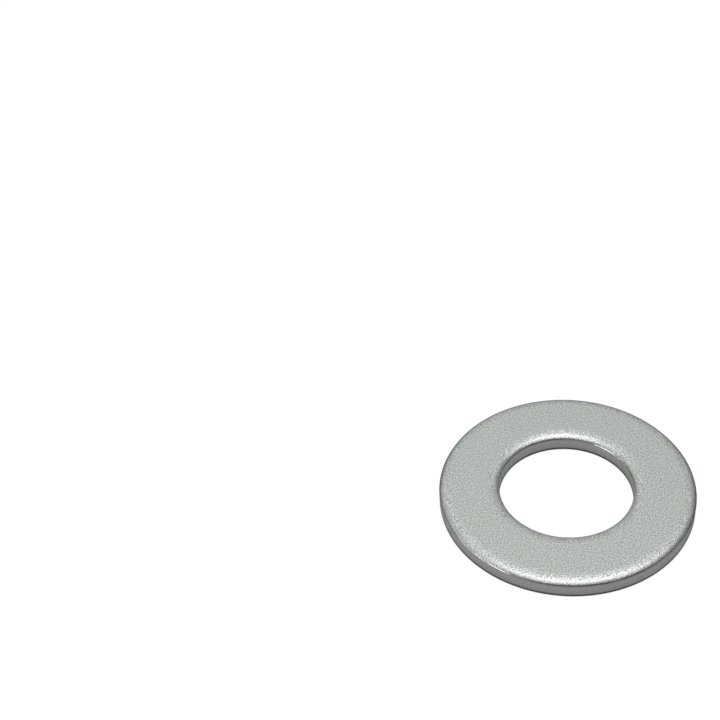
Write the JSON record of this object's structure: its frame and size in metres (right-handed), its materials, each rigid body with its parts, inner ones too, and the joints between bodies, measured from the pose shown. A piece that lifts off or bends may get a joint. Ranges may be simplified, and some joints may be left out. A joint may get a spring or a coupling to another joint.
{
  "type": "flat washer",
  "caption": "Round flat washer with a plain hole, softly domed stamped edges on its upper face and a bright zinc-plated finish.",
  "frame": {"origin": "the hole's centre on the lower seating face", "axes": "+Z along the hole, from the deburred lower face to the domed upper face; X and Y lie in the seating face and are alike"},
  "size_m": [0.02, 0.02, 0.0015],
  "materials": {
    "zinc_plated_steel": "satin"
  },
  "bodies": {
    "root": {"washer": "zinc_plated_steel"}
  },
  "joints": []
}
